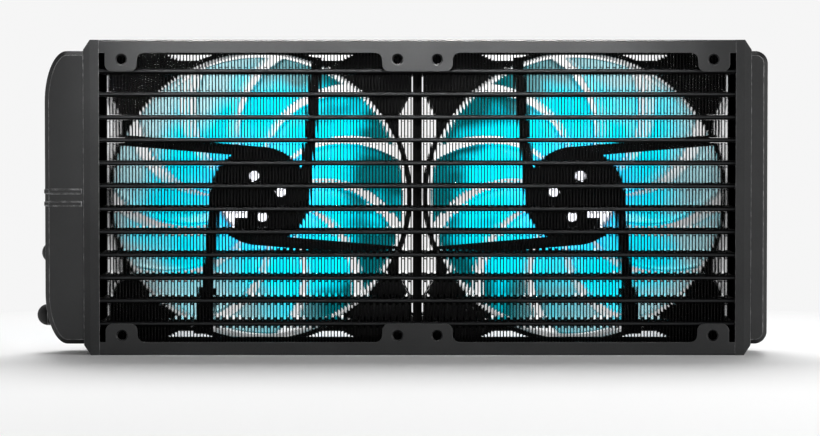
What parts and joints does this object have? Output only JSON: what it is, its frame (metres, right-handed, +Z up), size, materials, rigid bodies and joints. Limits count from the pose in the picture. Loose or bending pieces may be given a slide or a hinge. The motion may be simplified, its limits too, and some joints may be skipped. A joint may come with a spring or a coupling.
{
  "type": "liquid cooling radiator",
  "caption": "Liquid cooling radiator: a folded-fin and flat-tube core between end tanks, with lit fans fixed behind it.",
  "frame": {"origin": "under the middle of the finned core, on the face that the radiator stands on", "axes": "+X along the radiator towards the return tank, +Y from the case side towards the fans, +Z up"},
  "size_m": [0.2799, 0.0542, 0.12],
  "materials": {
    "plate_coat": "satin black powder coat",
    "header_coat": "satin black powder coat",
    "tank_coat": "satin black powder coat",
    "tube_coat": "satin black coat on drawn tube",
    "fin_coat": "thin black coat on folded sheet",
    "bare_metal": "plain rolled sheet",
    "plug_rubber": "matt moulded rubber",
    "frame_plastic": "fine moulded texture",
    "rotor_plastic": "frosted translucent, lit from inside",
    "bearing_bronze": "oiled sintered bronze",
    "circuit_board": "white lacquer, lit by its lamps",
    "lamp_lens": "clear resin over a lamp",
    "motor_steel": "stamped",
    "coil_copper": "enamelled copper wire",
    "magnet_ferrite": "sintered",
    "shaft_steel": "ground",
    "screw_black": "black oxide"
  },
  "bodies": {
    "radiator": {"bottom_side_plate": "plate_coat", "top_side_plate": "plate_coat", "flat_tubes": "tube_coat", "left_fins": "fin_coat", "right_fins": "fin_coat", "middle_spacers": "fin_coat", "left_header": "header_coat", "right_header": "header_coat", "inlet_tank": "tank_coat", "return_tank": "tank_coat", "tank_partition": "bare_metal", "upper_port_neck": "tank_coat", "lower_port_neck": "tank_coat", "left_fan_frame": "frame_plastic", "left_fan_bush": "bearing_bronze", "left_fan_board": "circuit_board", "left_fan_lamps": "lamp_lens", "left_fan_stator": "motor_steel", "left_fan_coils": "coil_copper", "left_fan_screws": "screw_black", "right_fan_frame": "frame_plastic", "right_fan_bush": "bearing_bronze", "right_fan_board": "circuit_board", "right_fan_lamps": "lamp_lens", "right_fan_stator": "motor_steel", "right_fan_coils": "coil_copper", "right_fan_screws": "screw_black"},
    "left_rotor": {"left_fan_rotor": "rotor_plastic", "left_fan_magnet": "magnet_ferrite", "left_fan_yoke": "motor_steel", "left_fan_shaft": "shaft_steel", "left_fan_clip": "shaft_steel"},
    "right_rotor": {"right_fan_rotor": "rotor_plastic", "right_fan_magnet": "magnet_ferrite", "right_fan_yoke": "motor_steel", "right_fan_shaft": "shaft_steel", "right_fan_clip": "shaft_steel"},
    "upper_plug": {"upper_port_plug": "plug_rubber"},
    "lower_plug": {"lower_port_plug": "plug_rubber"}
  },
  "joints": [
    {"name": "left_fan_spin", "type": "hinge", "parent": "radiator", "child": "left_rotor", "pos_m": [-0.06, 0.026, 0.06], "axis": [0, 1, 0], "continuous": true},
    {"name": "right_fan_spin", "type": "hinge", "parent": "radiator", "child": "right_rotor", "pos_m": [0.06, 0.026, 0.06], "axis": [0, 1, 0], "continuous": true},
    {"name": "upper_plug_pull", "type": "slide", "parent": "radiator", "child": "upper_plug", "axis": [-1, 0, 0], "range_m": [0, 0.012]},
    {"name": "lower_plug_pull", "type": "slide", "parent": "radiator", "child": "lower_plug", "axis": [-1, 0, 0], "range_m": [0, 0.012]}
  ]
}
